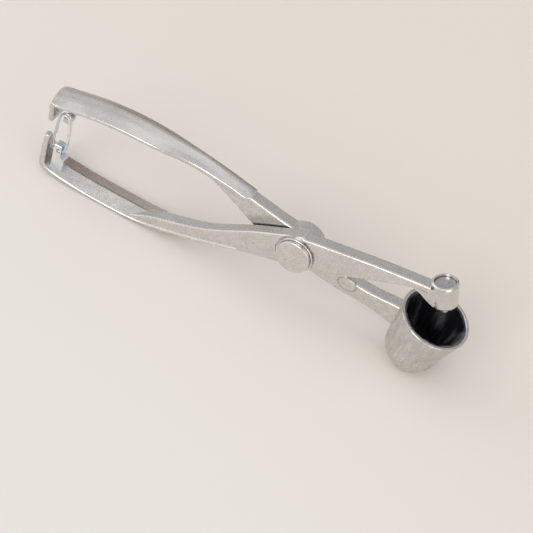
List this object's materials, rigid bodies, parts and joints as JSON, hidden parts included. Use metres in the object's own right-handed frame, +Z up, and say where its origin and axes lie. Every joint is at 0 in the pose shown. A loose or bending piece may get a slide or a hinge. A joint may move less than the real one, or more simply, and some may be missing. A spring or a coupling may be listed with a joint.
{
  "type": "nutcracker",
  "caption": "Crossed-lever hand nutcracker: cast handles, round pivot, knob with spike that closes onto a nut cup, wire latch loop.",
  "frame": {"origin": "on the table plane, below the middle of the bounding box", "axes": "+X from the handle ends to the cup, +Z up from the table, +Y along the pivot axis from the front lever to the back lever"},
  "size_m": [0.2311, 0.0356, 0.0599],
  "materials": {
    "cast_front": "tumbled satin casting",
    "cast_back": "tumbled satin casting",
    "cup_metal": "tumbled satin casting with a brighter rim",
    "liner_black": "glossy black",
    "stud_steel": "fine turned",
    "pin_steel": "plain",
    "cap_metal": "satin",
    "plated_wire": "bright zinc plating"
  },
  "bodies": {
    "back": {"back_lever": "cast_back", "cup": "cup_metal", "cup_liner": "liner_black", "pivot_pin": "pin_steel", "pivot_cap_front": "cap_metal", "pivot_cap_back": "cap_metal", "pivot_washer": "pin_steel"},
    "front": {"front_lever": "cast_front", "crusher_stud": "stud_steel", "latch_post": "plated_wire"},
    "latch": {"latch_loop": "plated_wire"}
  },
  "joints": [
    {"name": "jaw_pivot", "type": "hinge", "parent": "back", "child": "front", "pos_m": [0.02525, 0, 0.034], "axis": [0, -1, 0], "range_deg": [-1.2, 28]},
    {"name": "latch_swing", "type": "hinge", "parent": "front", "child": "latch", "pos_m": [-0.10625, -0.003, 0.0152], "axis": [1, 0, 0], "range_deg": [-7, 90]}
  ]
}
